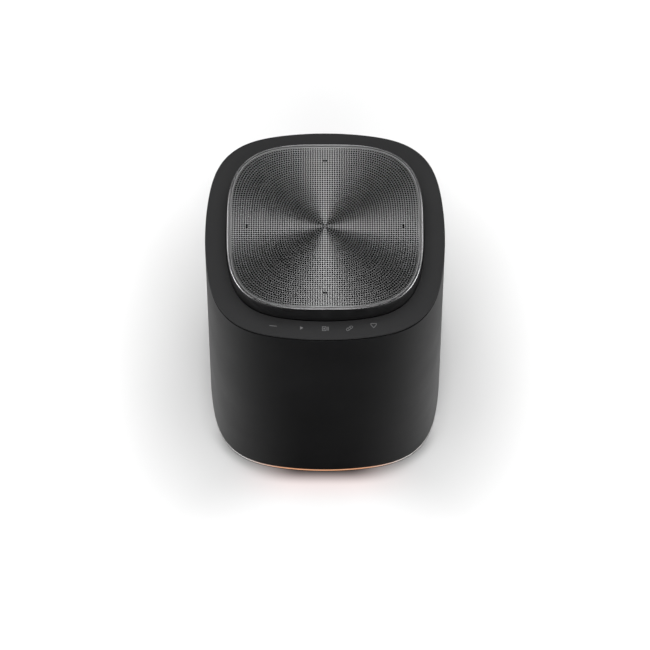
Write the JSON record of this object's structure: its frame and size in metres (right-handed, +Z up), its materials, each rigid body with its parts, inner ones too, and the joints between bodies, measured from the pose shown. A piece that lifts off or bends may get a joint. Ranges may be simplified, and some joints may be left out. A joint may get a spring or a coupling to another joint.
{
  "type": "smart speaker",
  "caption": "Rounded-square tabletop smart speaker with a raised perforated metal cap, front touch keys on its top deck, an upward-firing driver and a light ring at the base.",
  "frame": {"origin": "centre of the footprint on the surface the speaker stands on", "axes": "+Z up along the body; -Y towards the user, the side of the touch keys; +X to the user's right"},
  "size_m": [0.13, 0.13, 0.161],
  "materials": {
    "shell": "fine matte black",
    "deck": "soft-touch dark grey",
    "grille": "dark anodised, concentrically brushed and perforated",
    "trim": "dark anodised, polished edge",
    "cloth": "black acoustic cloth",
    "frame": "moulded black",
    "light": "translucent diffuser glowing warm orange",
    "rubber": "matte black",
    "steel": "zinc plated",
    "ferrite": "sintered ferrite, dark grey",
    "paper": "pressed fibre",
    "spider_cloth": "resin-dipped cotton",
    "copper": "enamelled copper winding",
    "pcb": "glass-epoxy laminate",
    "alu": "bare",
    "foam": "closed-cell foam",
    "cable": "satin PVC",
    "ribbon": "polyimide film",
    "socket": "moulded nylon"
  },
  "bodies": {
    "enclosure": {"acoustic_cloth": "cloth", "amp_heatsink": "alu", "antenna_left": "pcb", "antenna_right": "pcb", "baffle": "frame", "baffle_screw_1": "steel", "baffle_screw_2": "steel", "baffle_screw_3": "steel", "baffle_screw_4": "steel", "base_plate": "frame", "base_screw_1": "steel", "base_screw_2": "steel", "base_screw_3": "steel", "base_screw_4": "steel", "cable_grommet": "rubber", "capacitor_1": "alu", "capacitor_2": "alu", "chamber_seal": "foam", "chamber_tub": "frame", "dc_jack": "cable", "deck_carrier": "frame", "driver_basket": "steel", "driver_gasket": "foam", "driver_screw_1": "steel", "driver_screw_2": "steel", "driver_screw_3": "steel", "driver_screw_4": "steel", "driver_terminals": "socket", "foot_pad": "rubber", "grille_frame": "frame", "grille_plate": "grille", "jack_bezel": "frame", "led_board": "pcb", "light_ring": "light", "magnet": "ferrite", "main_board": "pcb", "mic_board_front": "pcb", "mic_board_left": "pcb", "mic_board_rear": "pcb", "mic_board_right": "pcb", "mic_boot_front": "rubber", "mic_boot_left": "rubber", "mic_boot_rear": "rubber", "mic_boot_right": "rubber", "ribbon_socket": "socket", "side_shell": "shell", "soc_shield": "alu", "speaker_cable": "cable", "speaker_socket": "socket", "spider": "spider_cloth", "surround": "rubber", "top_deck": "deck", "top_plate": "steel", "touch_board": "pcb", "touch_ribbon": "ribbon", "trim_ring": "trim", "yoke": "steel"},
    "moving_coil": {"cone": "paper", "dust_cap": "paper", "voice_coil": "copper"}
  },
  "joints": [
    {"name": "cone_travel", "type": "slide", "parent": "enclosure", "child": "moving_coil", "axis": [0, 0, 1], "range_m": [-0.003, 0.003], "stiffness_N_per_m": 1500, "deforming": ["surround", "spider"]}
  ]
}
